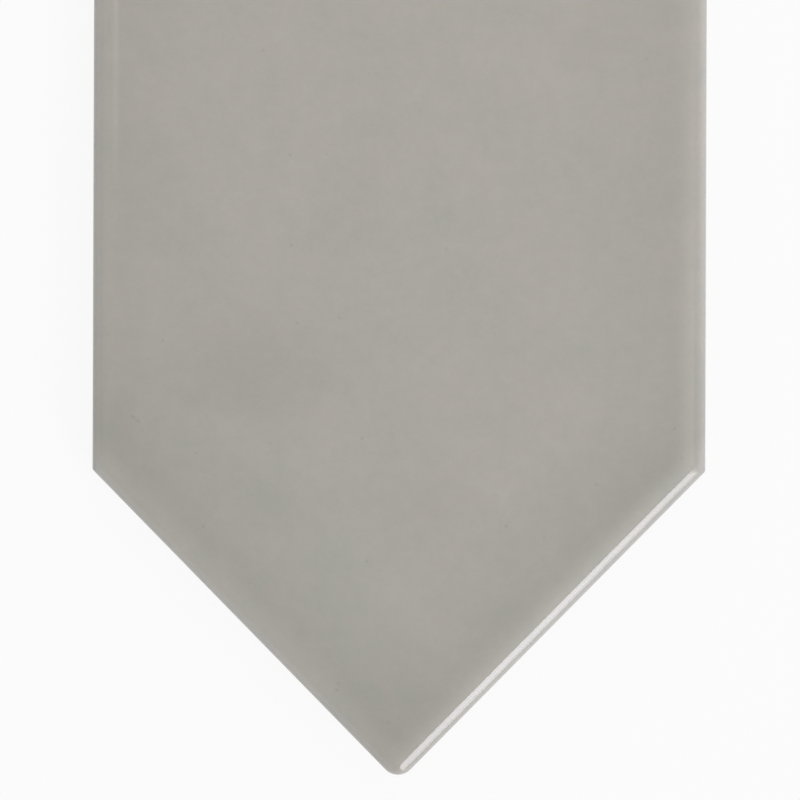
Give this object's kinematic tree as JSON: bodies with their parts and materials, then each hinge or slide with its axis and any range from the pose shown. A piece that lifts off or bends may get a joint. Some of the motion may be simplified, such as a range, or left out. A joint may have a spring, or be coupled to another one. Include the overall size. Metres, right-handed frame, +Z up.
{
  "type": "picket wall tile",
  "caption": "Elongated hexagonal glazed ceramic wall tile, pointed at both ends, with a cushioned edge round its glossy face and a ribbed back.",
  "frame": {"origin": "middle of the back, on the plane that the tile lies on", "axes": "+Y along the tile towards one point, +Z up out of the glazed face, +X across the tile"},
  "size_m": [0.075, 0.3, 0.008],
  "materials": {
    "glaze": "gloss"
  },
  "bodies": {
    "root": {"tile": "glaze"}
  },
  "joints": []
}
